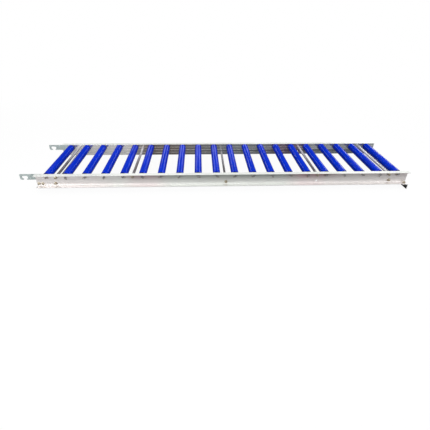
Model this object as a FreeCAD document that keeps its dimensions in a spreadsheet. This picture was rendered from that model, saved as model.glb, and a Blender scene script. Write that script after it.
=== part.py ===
import FreeCAD, Part
import math
import os

import Sketcher

# Gravity roller conveyor section: plastic rollers on fixed axles between two aluminium channel rails,
# hook plates at the low-x end and an angle cross bar under the high-x end.
# Frame: +X along the rails from the hooks to the cross bar, +Y across from the near rail to the far rail,
# +Z up; the origin lies under the middle of the section, level with the lower edge of the cross bar.

ROLLER_COUNT = 20
# A bay is the space between one roller and the next; bay 1 follows roller 1.
UPPER_TIE_BAYS = (1, 5, 15, 19)
LOWER_TIE_BAYS = (1, 10, 19)
STAND_HOLE_BAY = 15
SIDES = {"near": -1, "far": 1}

DIMENSIONS = {
    # channel rails: web inside, flanges outwards, drill-line grooves on the inner face
    "rail_height": 70.0,
    "flange_width": 25.0,
    "rail_wall": 3.0,
    "rail_root_radius": 3.0,
    "rail_edge_radius": 0.8,
    "rail_end_margin": 55.0,
    "groove_width": 2.0,
    "groove_depth": 0.5,
    # rollers, their end caps and the fixed bushes that the caps turn on
    "roller_pitch": 100.0,
    "roller_diameter": 40.0,
    "roller_wall": 3.0,
    "roller_chamfer": 0.8,
    "roller_length": 400.0,
    "roller_gap": 6.0,
    "roller_rise": 2.0,
    "cap_depth": 14.0,
    "cap_fit": 0.02,
    "cap_rim_wall": 2.5,
    "cap_hub_wall": 2.5,
    "cap_recess_depth": 2.0,
    "bush_diameter": 13.0,
    "bush_collar_diameter": 15.0,
    "running_clearance": 0.05,
    "axial_clearance": 0.3,
    # axles and the split pins through their ends
    "axle_diameter": 10.0,
    "axle_overhang": 10.0,
    "axle_chamfer": 0.8,
    "axle_hole_clearance": 0.1,
    "pin_diameter": 2.6,
    "pin_hole_clearance": 0.1,
    "pin_offset": 3.5,
    "pin_neck": 1.0,
    "pin_eye_diameter": 8.0,
    "pin_tail_length": 6.0,
    "pin_tail_diameter": 1.7,
    "pin_tail_splay": 32.0,
    "pin_swing": 75.0,
    "pin_turn_first": 270.0,
    "pin_turn_step": 85.4,
    # ties between the webs
    "upper_tie_diameter": 14.0,
    "lower_tie_diameter": 12.0,
    "lower_tie_outset": 8.0,
    "lower_line_drop": 35.0,
    "stand_hole_diameter": 11.0,
    # hexagon bolts, nuts and washers
    "bolt_diameter": 8.0,
    "bolt_head_height": 5.3,
    "hexagon_across_flats": 13.0,
    "bolt_hole_clearance": 0.5,
    "thread_clearance": 0.05,
    "tie_bolt_engagement": 20.0,
    "bolt_end_length": 3.0,
    "nut_height": 6.5,
    "washer_diameter": 16.0,
    "washer_thickness": 1.6,
    "washer_hole_clearance": 0.2,
    # hook plates on the inner faces of the webs
    "plate_thickness": 3.0,
    "hook_reach": 80.0,
    "hook_top_wall": 10.0,
    "hook_tip_wall": 11.0,
    "hook_slot_length": 29.0,
    "hook_slot_height": 15.5,
    "hook_lip_height": 6.0,
    "hook_mouth_width": 16.0,
    "hook_slot_radius": 4.5,
    "hook_lip_radius": 1.5,
    "hook_corner_radius": 5.0,
    "plate_tail_length": 40.0,
    "plate_tail_height": 62.0,
    "plate_tail_radius": 3.0,
    "hook_bolt_first": 10.0,
    "hook_bolt_second": 31.0,
    # angle cross bar under the bottom flanges
    "angle_leg": 30.0,
    "angle_wall": 3.0,
    "angle_root_radius": 3.0,
    "angle_toe_radius": 1.5,
    "angle_overhang": 10.0,
    "angle_bolt_inset": 9.0,
}

doc = FreeCAD.newDocument("roller_conveyor")
dims = doc.addObject("Spreadsheet::Sheet", "dims")
for row, (alias, size) in enumerate(DIMENSIONS.items(), start=1):
    dims.set(f"A{row}", alias)
    dims.set(f"B{row}", str(size))
    dims.setAlias(f"B{row}", alias)
doc.recompute()

# Places that several pieces share, as expressions of the driving dimensions
RAIL_SPACING = "(dims.roller_length + 2 * dims.roller_gap)"
RAIL_LENGTH = f"({ROLLER_COUNT - 1} * dims.roller_pitch + 2 * dims.rail_end_margin)"
RAIL_LEFT = f"((dims.hook_reach - dims.angle_overhang - {RAIL_LENGTH}) / 2)"
RAIL_RIGHT = f"({RAIL_LEFT} + {RAIL_LENGTH})"
FIRST_AXLE_X = f"({RAIL_LEFT} + dims.rail_end_margin)"
WEB_OUTSIDE = f"({RAIL_SPACING} / 2 + dims.rail_wall)"
OVERALL_WIDTH = f"({RAIL_SPACING} + 2 * dims.flange_width)"
# heights above the underside of the rails
AXLE_HEIGHT = "(dims.rail_height + dims.roller_rise - dims.roller_diameter / 2)"
LOWER_HEIGHT = f"({AXLE_HEIGHT} - dims.lower_line_drop)"
AXLE_Z = f"(dims.angle_leg + {AXLE_HEIGHT})"
LOWER_Z = f"(dims.angle_leg + {LOWER_HEIGHT})"
BOLT_HOLE = "(dims.bolt_diameter + 2 * dims.bolt_hole_clearance)"
TAPPED_HOLE = "(dims.bolt_diameter + 2 * dims.thread_clearance)"
# the angle bolts stand in the middle of the open part of each bottom flange
ANGLE_BOLT_Y = f"({WEB_OUTSIDE} + (dims.flange_width - dims.rail_wall) / 2)"

nodes = []


def value(expression):
    """The number that an expression of the driving dimensions gives."""
    return float(dims.evalExpression(str(expression)))


def bind(thing, **expressions):
    """Tie properties of a document object to expressions of the driving dimensions."""
    for name, expression in expressions.items():
        thing.setExpression(name, str(expression))


def place(thing, x="0", y="0", z="0", rotation=None):
    """Put an object at a bound point, turned by a fixed rotation."""
    rotation = rotation or FreeCAD.Rotation()
    thing.Placement = FreeCAD.Placement(FreeCAD.Vector(), rotation)
    for axis, expression in (("x", x), ("y", y), ("z", z)):
        thing.setExpression(f"Placement.Base.{axis}", expression)


def turn(x, y, z, degrees):
    """A rotation about the given axis."""
    return FreeCAD.Rotation(FreeCAD.Vector(x, y, z), degrees)


def outwards(side):
    """The turn that points a fastener's axis out of the near or far web."""
    return turn(1, 0, 0, -90 * side)


def as_node(thing):
    """Count an object among the sub-parts that are written out."""
    nodes.append(thing)
    return thing


def new_body(name):
    return doc.addObject("PartDesign::Body", name)


def origin_feature(body, role):
    """An origin plane or axis of a body."""
    return next(feature for feature in body.Origin.OriginFeatures if feature.Role == role)


def new_sketch(body, name, role):
    """A sketch on one of the origin planes of its body."""
    sketch = body.newObject("Sketcher::SketchObject", name)
    sketch.AttachmentSupport = [(origin_feature(body, role), "")]
    sketch.MapMode = "FlatFace"
    return sketch


def fix_point(sketch, geometry, position, across, up):
    """Hold a sketch point at a bound distance from the sketch's origin."""
    for kind, expression in (("DistanceX", across), ("DistanceY", up)):
        rule = Sketcher.Constraint(kind, -1, 1, geometry, position, value(expression))
        number = sketch.addConstraint(rule)
        sketch.setExpression(f"Constraints[{number}]", expression)


def draw_polygon(sketch, corners):
    """A closed outline through corners given as pairs of expressions."""
    points = [FreeCAD.Vector(value(across), value(up), 0) for across, up in corners]
    for index, start in enumerate(points):
        end = points[(index + 1) % len(points)]
        sketch.addGeometry(Part.LineSegment(start, end))
    for index, (across, up) in enumerate(corners):
        following = (index + 1) % len(corners)
        sketch.addConstraint(Sketcher.Constraint("Coincident", index, 2, following, 1))
        fix_point(sketch, index, 1, across, up)


def draw_circle(sketch, diameter, across="0", up="0"):
    """A circle with a bound diameter and centre."""
    centre = FreeCAD.Vector(value(across), value(up), 0)
    circle = Part.Circle(centre, FreeCAD.Vector(0, 0, 1), value(diameter) / 2)
    geometry = sketch.addGeometry(circle)
    fix_point(sketch, geometry, 3, across, up)
    rule = Sketcher.Constraint("Diameter", geometry, value(diameter))
    number = sketch.addConstraint(rule)
    sketch.setExpression(f"Constraints[{number}]", diameter)


def add_pad(body, sketch, length, side_type="One side", backwards=False):
    pad = body.newObject("PartDesign::Pad", "pad")
    pad.Profile = sketch
    pad.SideType = side_type
    pad.Reversed = backwards
    bind(pad, Length=length)
    doc.recompute()
    return pad


def add_through_holes(body, sketch):
    """Cut the circles of a sketch through the body, to both sides of the sketch."""
    before = body.Shape.Volume
    pocket = body.newObject("PartDesign::Pocket", "holes")
    pocket.Profile = sketch
    pocket.Type = "ThroughAll"
    pocket.SideType = "Symmetric"
    doc.recompute()
    check_cut(body, before)
    return pocket


def check_cut(body, volume_before):
    if body.Shape.Volume >= volume_before:
        raise RuntimeError(f"a cut removed nothing from {body.Label}")


def add_revolution(body, sketch):
    """Turn a sketch once round the Y axis of its body."""
    revolution = body.newObject("PartDesign::Revolution", "revolution")
    revolution.Profile = sketch
    revolution.ReferenceAxis = (sketch, ["V_Axis"])
    revolution.Angle = 360
    doc.recompute()
    return revolution


def row_of_axles(body, pattern):
    """Repeat a feature at every axle along the rail."""
    pattern.Direction = (origin_feature(body, "X_Axis"), [""])
    pattern.Occurrences = ROLLER_COUNT
    bind(pattern, Length=f"{ROLLER_COUNT - 1} * dims.roller_pitch")


def edges_along(shape, axis, spots):
    """Names of the straight edges along an axis that pass through the given pairs of places."""
    others = [index for index in range(3) if index != axis]
    names = []
    for number, edge in enumerate(shape.Edges, start=1):
        start, end = edge.firstVertex().Point, edge.lastVertex().Point
        level = all(abs(start[index] - end[index]) < 1e-6 for index in others)
        spot = [start[index] for index in others]
        if level and any(math.dist(spot, wanted) < 1e-3 for wanted in spots):
            names.append(f"Edge{number}")
    return names


def add_fillet(body, axis, spots, radius):
    """Round the edges along an axis at spots given as pairs of expressions."""
    base = body.Tip
    wanted = [(value(first), value(second)) for first, second in spots]
    fillet = body.newObject("PartDesign::Fillet", "fillet")
    fillet.Base = (base, edges_along(base.Shape, axis, wanted))
    bind(fillet, Radius=radius)
    doc.recompute()
    return fillet


def bay_x(bay):
    """Distance of the middle of a bay from the low-x end of the rails."""
    return f"(dims.rail_end_margin + {bay - 0.5} * dims.roller_pitch)"


def lower_tie_x(bay):
    """Distance of a lower tie from the low-x end; the outer two stand off the middle of their bays."""
    away = {LOWER_TIE_BAYS[0]: -1, LOWER_TIE_BAYS[-1]: 1}.get(bay, 0)
    return f"({bay_x(bay)} + {away} * dims.lower_tie_outset)"


def axle_x(index):
    return f"({FIRST_AXLE_X} + {index} * dims.roller_pitch)"


def make_rail(name, side):
    """Channel rail; its frame starts at the low-x end, at the inner face and underside of the web."""
    body = as_node(new_body(f"{name}_rail"))
    flange, wall, height = (f"{side} * dims.flange_width", f"{side} * dims.rail_wall", "dims.rail_height")
    middle_height = f"(({AXLE_HEIGHT} + {LOWER_HEIGHT}) / 2)"
    upper_inside, lower_inside = "dims.rail_height - dims.rail_wall", "dims.rail_wall"
    outline = [("0", "0")]
    for line in (LOWER_HEIGHT, middle_height, AXLE_HEIGHT):
        outline.append(("0", f"{line} - dims.groove_width / 2"))
        outline.append((f"{side} * dims.groove_depth", line))
        outline.append(("0", f"{line} + dims.groove_width / 2"))
    outline += [("0", height), (flange, height), (flange, upper_inside), (wall, upper_inside)]
    outline += [(wall, lower_inside), (flange, lower_inside), (flange, "0")]
    section = new_sketch(body, "section", "YZ_Plane")
    draw_polygon(section, outline)
    add_pad(body, section, RAIL_LENGTH)
    add_fillet(body, 0, [(wall, upper_inside), (wall, lower_inside)], "dims.rail_root_radius")
    tips = [(flange, level) for level in ("0", lower_inside, upper_inside, height)]
    add_fillet(body, 0, tips + [("0", "0"), ("0", height)], "dims.rail_edge_radius")

    fastening = new_sketch(body, "fastening_holes", "XZ_Plane")
    for bay in UPPER_TIE_BAYS:
        draw_circle(fastening, BOLT_HOLE, bay_x(bay), AXLE_HEIGHT)
    for bay in LOWER_TIE_BAYS:
        draw_circle(fastening, BOLT_HOLE, lower_tie_x(bay), LOWER_HEIGHT)
    for distance in ("dims.hook_bolt_first", "dims.hook_bolt_second"):
        draw_circle(fastening, BOLT_HOLE, distance, LOWER_HEIGHT)
    draw_circle(fastening, "dims.stand_hole_diameter", bay_x(STAND_HOLE_BAY), LOWER_HEIGHT)
    add_through_holes(body, fastening)

    foot = new_sketch(body, "angle_bolt_hole", "XY_Plane")
    foot_y = f"{side} * (dims.rail_wall + dims.flange_width) / 2"
    draw_circle(foot, BOLT_HOLE, f"{RAIL_LENGTH} - dims.angle_bolt_inset", foot_y)
    before = body.Shape.Volume
    foot_pocket = body.newObject("PartDesign::Pocket", "foot_pocket")
    foot_pocket.Profile = foot
    foot_pocket.Reversed = True
    bind(foot_pocket, Length="2 * dims.rail_wall")
    doc.recompute()
    check_cut(body, before)

    axle_hole = new_sketch(body, "axle_hole", "XZ_Plane")
    axle_hole_diameter = "dims.axle_diameter + 2 * dims.axle_hole_clearance"
    draw_circle(axle_hole, axle_hole_diameter, "dims.rail_end_margin", AXLE_HEIGHT)
    first_hole = add_through_holes(body, axle_hole)
    row = body.newObject("PartDesign::LinearPattern", "axle_holes")
    row.Originals = [first_hole]
    row_of_axles(body, row)
    body.Tip = row
    place(body, RAIL_LEFT, f"{side} * {RAIL_SPACING} / 2", "dims.angle_leg")


def make_roller(number):
    """Roller: a tube with chamfered ends, and two recessed end caps that turn on the fixed bushes."""
    x = axle_x(number - 1)
    tube = as_node(new_body(f"roller_tube_{number:02d}"))
    wall = new_sketch(tube, "tube_half_section", "XY_Plane")
    outside, face = "dims.roller_diameter / 2", "dims.roller_length / 2"
    inside = f"{outside} - dims.roller_wall"
    chamfer_start = f"{outside} - dims.roller_chamfer"
    shoulder = f"({face} - dims.roller_chamfer)"
    corners = [(inside, f"-{face}"), (chamfer_start, f"-{face}"), (outside, f"-{shoulder}")]
    corners += [(outside, shoulder), (chamfer_start, face), (inside, face)]
    draw_polygon(wall, corners)
    add_revolution(tube, wall)
    place(tube, x, "0", AXLE_Z)

    caps = as_node(new_body(f"roller_caps_{number:02d}"))
    half = new_sketch(caps, "cap_half_section", "XY_Plane")
    bore = "dims.bush_diameter / 2 + dims.running_clearance"
    hub = f"{bore} + dims.cap_hub_wall"
    rim = f"{inside} - dims.cap_fit"
    rim_inside = f"{rim} - dims.cap_rim_wall"
    back = f"{face} - dims.cap_depth"
    recess = f"{face} - dims.cap_recess_depth"
    corners = [(bore, back), (rim, back), (rim, face), (rim_inside, face), (rim_inside, recess)]
    corners += [(hub, recess), (hub, face), (bore, face)]
    draw_polygon(half, corners)
    far_cap = add_revolution(caps, half)
    pair = caps.newObject("PartDesign::Mirrored", "both_ends")
    pair.Originals = [far_cap]
    pair.MirrorPlane = (origin_feature(caps, "XZ_Plane"), [""])
    caps.Tip = pair
    place(caps, x, "0", AXLE_Z)


def make_bushes():
    """Fixed bearing bushes: a collar against the web, and a sleeve that carries the end cap."""
    body = as_node(new_body("bearing_bushes"))
    half = new_sketch(body, "bush_half_section", "XY_Plane")
    bore = "dims.axle_diameter / 2 + dims.running_clearance"
    sleeve, collar = "dims.bush_diameter / 2", "dims.bush_collar_diameter / 2"
    web = f"{RAIL_SPACING} / 2"
    shoulder = "dims.roller_length / 2 + dims.axial_clearance"
    inner_end = "dims.roller_length / 2 - dims.cap_depth"
    corners = [(bore, inner_end), (sleeve, inner_end), (sleeve, shoulder)]
    corners += [(collar, shoulder), (collar, web), (bore, web)]
    draw_polygon(half, corners)
    bush = add_revolution(body, half)
    copies = body.newObject("PartDesign::MultiTransform", "every_axle_end")
    mirrored = body.newObject("PartDesign::Mirrored", "both_ends")
    mirrored.MirrorPlane = (origin_feature(body, "XZ_Plane"), [""])
    row = body.newObject("PartDesign::LinearPattern", "axle_row")
    row_of_axles(body, row)
    copies.Originals = [bush]
    copies.Transformations = [mirrored, row]
    body.Tip = copies
    place(body, FIRST_AXLE_X, "0", AXLE_Z)


def pin_turn(index):
    """Each axle came to rest at its own turn: degrees of its split pins from upright."""
    phase = math.radians(value(f"dims.pin_turn_first + {index} * dims.pin_turn_step"))
    return turn(0, 1, 0, value("dims.pin_swing") * math.sin(phase))


PIN_Y = f"({WEB_OUTSIDE} + dims.pin_offset)"


def make_axle(index):
    """Axle rod with chamfered ends, cross drilled near both ends for the split pins."""
    body = new_body(f"axle_{index + 1:02d}")
    half = new_sketch(body, "axle_half_section", "XY_Plane")
    radius, end = "dims.axle_diameter / 2", f"({WEB_OUTSIDE} + dims.axle_overhang)"
    chamfer_start = f"{radius} - dims.axle_chamfer"
    shoulder = f"({end} - dims.axle_chamfer)"
    corners = [("0", f"-{end}"), (chamfer_start, f"-{end}"), (radius, f"-{shoulder}")]
    corners += [(radius, shoulder), (chamfer_start, end), ("0", end)]
    draw_polygon(half, corners)
    add_revolution(body, half)
    cross = new_sketch(body, "pin_holes", "XY_Plane")
    for side in SIDES.values():
        draw_circle(cross, "dims.pin_diameter + 2 * dims.pin_hole_clearance", "0", f"{side} * {PIN_Y}")
    add_through_holes(body, cross)
    place(body, axle_x(index), "0", AXLE_Z, pin_turn(index))
    return body


def make_wire(name, diameter, length, sides=8):
    """Straight length of pin wire with flats, standing on its own XY plane."""
    wire = doc.addObject("Part::Prism", name)
    wire.Polygon = sides
    bind(wire, Circumradius=f"({diameter}) / 2", Height=length)
    return wire


def make_split_pin(index, name, side):
    """Split pin across an axle end: a shank with an eye below and two spread tails above."""
    reach = "(dims.axle_diameter / 2 + dims.pin_neck)"
    bury = "dims.pin_diameter / 2"
    shank = make_wire("pin_shank", "dims.pin_diameter", f"2 * {reach} + {bury}")
    place(shank, z=f"-{reach} - {bury}")
    eye_blank = make_wire("pin_eye_blank", "dims.pin_eye_diameter", "dims.pin_diameter")
    eye_opening = "dims.pin_eye_diameter - 2 * dims.pin_tail_diameter"
    eye_hole = make_wire("pin_eye_hole", eye_opening, "dims.pin_diameter")
    eye = doc.addObject("Part::Cut", "pin_eye")
    eye.Base = eye_blank
    eye.Tool = eye_hole
    eye_centre = f"-{reach} + dims.pin_neck / 2 - dims.pin_eye_diameter / 2"
    place(eye, "0", "dims.pin_diameter / 2", eye_centre, turn(1, 0, 0, 90))
    pieces = [shank, eye]
    for lean in (-1, 1):
        tail = make_wire("pin_tail", "dims.pin_tail_diameter", "dims.pin_tail_length")
        splay = turn(0, 1, 0, lean * value("dims.pin_tail_splay"))
        place(tail, z=f"{reach} - dims.pin_neck", rotation=splay)
        pieces.append(tail)
    pin = doc.addObject("Part::MultiFuse", f"{name}_pin_{index + 1:02d}")
    pin.Shapes = pieces
    place(pin, axle_x(index), f"{side} * {PIN_Y}", AXLE_Z, pin_turn(index))
    return pin


def make_tie(name, diameter, x, z):
    """Round tie between the webs, bored through and tapped for a bolt at each end."""
    body = as_node(new_body(name))
    section = new_sketch(body, "tie_section", "XZ_Plane")
    draw_circle(section, diameter)
    draw_circle(section, TAPPED_HOLE)
    add_pad(body, section, RAIL_SPACING, "Symmetric")
    place(body, x, "0", z)


def make_bolt(name, shank_length):
    """Hexagon bolt: the head stands on its own XY plane and the shank hangs below it."""
    head = doc.addObject("Part::Prism", "bolt_head")
    head.Polygon = 6
    bind(head, Circumradius="dims.hexagon_across_flats / sqrt(3)", Height="dims.bolt_head_height")
    shank = doc.addObject("Part::Cylinder", "bolt_shank")
    bind(shank, Radius="dims.bolt_diameter / 2", Height=shank_length)
    place(shank, z=f"-({shank_length})")
    bolt = doc.addObject("Part::Fuse", name)
    bolt.Base = head
    bolt.Tool = shank
    return bolt


def make_washer(name):
    disc = doc.addObject("Part::Cylinder", "washer_disc")
    bind(disc, Radius="dims.washer_diameter / 2", Height="dims.washer_thickness")
    hole = doc.addObject("Part::Cylinder", "washer_hole")
    radius = "dims.bolt_diameter / 2 + dims.washer_hole_clearance"
    bind(hole, Radius=radius, Height="dims.washer_thickness")
    washer = doc.addObject("Part::Cut", name)
    washer.Base = disc
    washer.Tool = hole
    return washer


def make_nut(name):
    blank = doc.addObject("Part::Prism", "nut_blank")
    blank.Polygon = 6
    bind(blank, Circumradius="dims.hexagon_across_flats / sqrt(3)", Height="dims.nut_height")
    thread = doc.addObject("Part::Cylinder", "nut_thread")
    bind(thread, Radius=f"{TAPPED_HOLE} / 2", Height="dims.nut_height")
    nut = doc.addObject("Part::Cut", name)
    nut.Base = blank
    nut.Tool = thread
    return nut


def group(name, pieces):
    """A sub-part made of identical separate pieces."""
    compound = as_node(doc.addObject("Part::Compound", name))
    compound.Links = pieces


def make_axles_and_pins():
    group("roller_axles", [make_axle(index) for index in range(ROLLER_COUNT)])
    pins = []
    for index in range(ROLLER_COUNT):
        for name, side in SIDES.items():
            pins.append(make_split_pin(index, name, side))
    group("split_pins", pins)


def make_ties():
    """Ties with a bolt and a washer at each end, on the axle line and on the lower line."""
    rows = {"upper": (UPPER_TIE_BAYS, bay_x, AXLE_Z), "lower": (LOWER_TIE_BAYS, lower_tie_x, LOWER_Z)}
    bolt_length = "dims.washer_thickness + dims.rail_wall + dims.tie_bolt_engagement"
    bolts, washers = [], []
    for row_name, (bays, along, z) in rows.items():
        for number, bay in enumerate(bays, start=1):
            x = f"{RAIL_LEFT} + {along(bay)}"
            make_tie(f"{row_name}_tie_{number:02d}", f"dims.{row_name}_tie_diameter", x, z)
            for name, side in SIDES.items():
                washer = make_washer(f"{name}_{row_name}_washer")
                place(washer, x, f"{side} * {WEB_OUTSIDE}", z, outwards(side))
                washers.append(washer)
                bolt = make_bolt(f"{name}_{row_name}_bolt", bolt_length)
                seat = f"{side} * ({WEB_OUTSIDE} + dims.washer_thickness)"
                place(bolt, x, seat, z, outwards(side))
                bolts.append(bolt)
    group("tie_bolts", bolts)
    group("tie_washers", washers)


def make_hook_plate(name, side):
    """Hook plate on the inner face of the web; its frame is the rail's frame."""
    body = as_node(new_body(f"{name}_hook_plate"))
    top = "dims.rail_height"
    slot_top = "dims.rail_height - dims.hook_top_wall"
    slot_bottom = f"{slot_top} - dims.hook_slot_height"
    arm_bottom = f"{slot_bottom} - dims.hook_lip_height"
    tail_bottom = "dims.rail_height - dims.plate_tail_height"
    tail = "dims.plate_tail_length"
    tip = "-dims.hook_reach"
    slot_start = f"{tip} + dims.hook_tip_wall"
    slot_end = f"{slot_start} + dims.hook_slot_length"
    lip = "(dims.hook_slot_length - dims.hook_mouth_width) / 2"
    mouth_start = f"{slot_start} + {lip}"
    mouth_end = f"{slot_end} - {lip}"
    outline = [(tip, top), (tail, top), (tail, tail_bottom), ("0", tail_bottom), ("0", arm_bottom)]
    outline += [(mouth_end, arm_bottom), (mouth_end, slot_bottom), (slot_end, slot_bottom)]
    outline += [(slot_end, slot_top), (slot_start, slot_top), (slot_start, slot_bottom)]
    outline += [(mouth_start, slot_bottom), (mouth_start, arm_bottom), (tip, arm_bottom)]
    section = new_sketch(body, "plate_outline", "XZ_Plane")
    draw_polygon(section, outline)
    add_pad(body, section, "dims.plate_thickness", backwards=side < 0)

    slot_corners = [(across, up) for across in (slot_start, slot_end) for up in (slot_top, slot_bottom)]
    lip_corners = [(across, up) for across in (mouth_start, mouth_end) for up in (slot_bottom, arm_bottom)]
    tail_corners = [(tail, top), (tail, tail_bottom), ("0", tail_bottom), ("0", arm_bottom)]
    slot_radius = f"min(dims.hook_slot_radius; 0.7 * {lip})"
    lip_radius = f"min(dims.hook_lip_radius; 0.25 * {lip}; 0.45 * dims.hook_lip_height)"
    add_fillet(body, 1, slot_corners, slot_radius)
    add_fillet(body, 1, lip_corners, lip_radius)
    add_fillet(body, 1, [(tip, top), (tip, arm_bottom)], "dims.hook_corner_radius")
    add_fillet(body, 1, tail_corners, "dims.plate_tail_radius")

    holes = new_sketch(body, "plate_holes", "XZ_Plane")
    for distance in ("dims.hook_bolt_first", "dims.hook_bolt_second"):
        draw_circle(holes, BOLT_HOLE, distance, LOWER_HEIGHT)
    add_through_holes(body, holes)
    place(body, RAIL_LEFT, f"{side} * {RAIL_SPACING} / 2", "dims.angle_leg")


def make_end_angle():
    """Angle cross bar: one leg flat under both bottom flanges, the other hanging at the rail ends."""
    body = as_node(new_body("end_angle"))
    leg, wall = "dims.angle_leg", "dims.angle_wall"
    shelf = f"{leg} - {wall}"
    outline = [("0", "0"), ("0", leg), (f"-{leg}", leg), (f"-{leg}", shelf)]
    outline += [(f"-{wall}", shelf), (f"-{wall}", "0")]
    section = new_sketch(body, "angle_section", "XZ_Plane")
    draw_polygon(section, outline)
    add_pad(body, section, OVERALL_WIDTH, "Symmetric")
    add_fillet(body, 1, [(f"-{wall}", shelf)], "dims.angle_root_radius")
    add_fillet(body, 1, [(f"-{leg}", shelf), (f"-{wall}", "0")], "dims.angle_toe_radius")
    holes = new_sketch(body, "angle_holes", "XY_Plane")
    for side in SIDES.values():
        hole_x = "-(dims.angle_overhang + dims.angle_bolt_inset)"
        draw_circle(holes, BOLT_HOLE, hole_x, f"{side} * {ANGLE_BOLT_Y}")
    add_through_holes(body, holes)
    place(body, f"{RAIL_RIGHT} + dims.angle_overhang", "0", "0")


def make_plate_and_angle_fasteners():
    """Hook bolts point inwards through web and plate; angle bolts point up through leg and flange."""
    hook_length = "dims.rail_wall + dims.plate_thickness + dims.nut_height + dims.bolt_end_length"
    angle_length = "dims.angle_wall + dims.rail_wall + dims.nut_height + dims.bolt_end_length"
    hook_bolts, angle_bolts, nuts = [], [], []
    for name, side in SIDES.items():
        for order in ("first", "second"):
            x = f"{RAIL_LEFT} + dims.hook_bolt_{order}"
            bolt = make_bolt(f"{name}_hook_bolt_{order}", hook_length)
            place(bolt, x, f"{side} * {WEB_OUTSIDE}", LOWER_Z, outwards(side))
            hook_bolts.append(bolt)
            nut = make_nut(f"{name}_hook_nut_{order}")
            seat = f"{side} * ({RAIL_SPACING} / 2 - dims.plate_thickness)"
            place(nut, x, seat, LOWER_Z, outwards(-side))
            nuts.append(nut)
        x = f"{RAIL_RIGHT} - dims.angle_bolt_inset"
        bolt = make_bolt(f"{name}_angle_bolt", angle_length)
        place(bolt, x, f"{side} * {ANGLE_BOLT_Y}", "dims.angle_leg - dims.angle_wall", turn(1, 0, 0, 180))
        angle_bolts.append(bolt)
        nut = make_nut(f"{name}_angle_nut")
        place(nut, x, f"{side} * {ANGLE_BOLT_Y}", "dims.angle_leg + dims.rail_wall")
        nuts.append(nut)
    group("hook_bolts", hook_bolts)
    group("angle_bolts", angle_bolts)
    group("hex_nuts", nuts)


def check_document():
    """Stop on any object that failed to build or any sub-part without a sound shape."""
    for thing in doc.Objects:
        if "Invalid" in thing.State or "Error" in thing.State:
            raise RuntimeError(f"{thing.Label} failed: {thing.State}")
    for node in nodes:
        if node.Shape.isNull() or not node.Shape.isValid():
            raise RuntimeError(f"{node.Label} has no valid shape")


for side_name, side_sign in SIDES.items():
    make_rail(side_name, side_sign)
    make_hook_plate(side_name, side_sign)
make_end_angle()
for roller_number in range(1, ROLLER_COUNT + 1):
    make_roller(roller_number)
make_bushes()
make_axles_and_pins()
make_ties()
make_plate_and_angle_fasteners()
doc.recompute()
check_document()

os.makedirs("parts", exist_ok=True)
for node in nodes:
    node.Shape.exportStep(f"parts/{node.Label}.step")
print(f"{len(nodes)} sub-parts, {sum(len(node.Shape.Solids) for node in nodes)} solids")
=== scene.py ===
"""Gravity roller conveyor section.

Twenty blue rollers turn on fixed axles between two aluminium channel rails. Galvanised hook plates stand at
one end, and an angle bar lies under the other.
"""

import math

import bmesh
import bpy
from mathutils import Matrix, Vector


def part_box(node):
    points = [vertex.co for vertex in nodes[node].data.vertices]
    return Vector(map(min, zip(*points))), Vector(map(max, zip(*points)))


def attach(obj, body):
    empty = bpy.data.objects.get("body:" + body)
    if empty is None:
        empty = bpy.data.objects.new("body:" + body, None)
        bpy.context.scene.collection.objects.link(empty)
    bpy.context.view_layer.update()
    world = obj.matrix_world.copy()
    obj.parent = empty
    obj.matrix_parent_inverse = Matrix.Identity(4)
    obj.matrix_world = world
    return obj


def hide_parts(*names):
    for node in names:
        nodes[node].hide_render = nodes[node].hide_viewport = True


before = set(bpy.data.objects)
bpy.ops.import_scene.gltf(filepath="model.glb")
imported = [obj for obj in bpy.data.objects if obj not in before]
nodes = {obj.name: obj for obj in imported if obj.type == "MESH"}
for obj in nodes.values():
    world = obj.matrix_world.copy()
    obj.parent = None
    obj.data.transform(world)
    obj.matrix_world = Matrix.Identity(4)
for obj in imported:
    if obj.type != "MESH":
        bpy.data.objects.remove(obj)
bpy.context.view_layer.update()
rail_low, rail_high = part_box("far_rail")

MM = 0.001
SIDES = (-1, 1)
FLIP = Matrix.Rotation(math.pi, 4, "X")

# How many of each repeated piece the section has
ROLLER_COUNT = 20
UPPER_TIE_COUNT = 4
LOWER_TIE_COUNT = 3

# View of the section: focal length in pixels of the square picture, place in metres, turns in degrees
PICTURE_WIDTH = 430
FOCAL_PIXELS = 322.4
SENSOR_WIDTH = 36.0
CAMERA_PLACE = Vector((-0.10457, -1.76924, 0.86491))
CAMERA_PITCH = 33.54
CAMERA_YAW = 3.03
CAMERA_ROLL = 0.824

# Walls that the bolts pass through, in metres
RAIL_WALL = 3 * MM
PLATE_WALL = 3 * MM
ANGLE_WALL = 3 * MM
WEB_FACE = rail_low.y + RAIL_WALL

# Bolts, nuts and washers, in metres, and how they are turned, in radians
BOLT_DIAMETER = 8 * MM
BOLT_HEAD_HEIGHT = 5.3 * MM
BOLT_END_LENGTH = 3 * MM
THREAD_PITCH = 1.25 * MM
THREAD_DEPTH = 0.6 * MM
FIRST_CREST_PITCHES = 0.75
HEX_ACROSS_FLATS = 13 * MM
HEX_CHAMFER_SLOPE = math.tan(math.radians(30))
HEX_FACE_SHARE = 0.95
NUT_HEIGHT = 6.5 * MM
NUT_CLEARANCE = 0.05 * MM
WASHER_DIAMETER = 16 * MM
WASHER_THICKNESS = 1.6 * MM
WASHER_HOLE = 8.4 * MM
TIE_BOLT_ENGAGEMENT = 20 * MM
TIE_BOLT_TWIST_STEP = 0.7
HOOK_BOLT_PLACES = (10 * MM, 31 * MM)
HOOK_BOLT_TWIST = 0.4
HOOK_BOLT_TWIST_STEP = 0.9
HOOK_BOLT_SIDE_TWIST = 0.5
ANGLE_BOLT_INSET = 9 * MM
ANGLE_NUT_TWIST = 0.3

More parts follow.
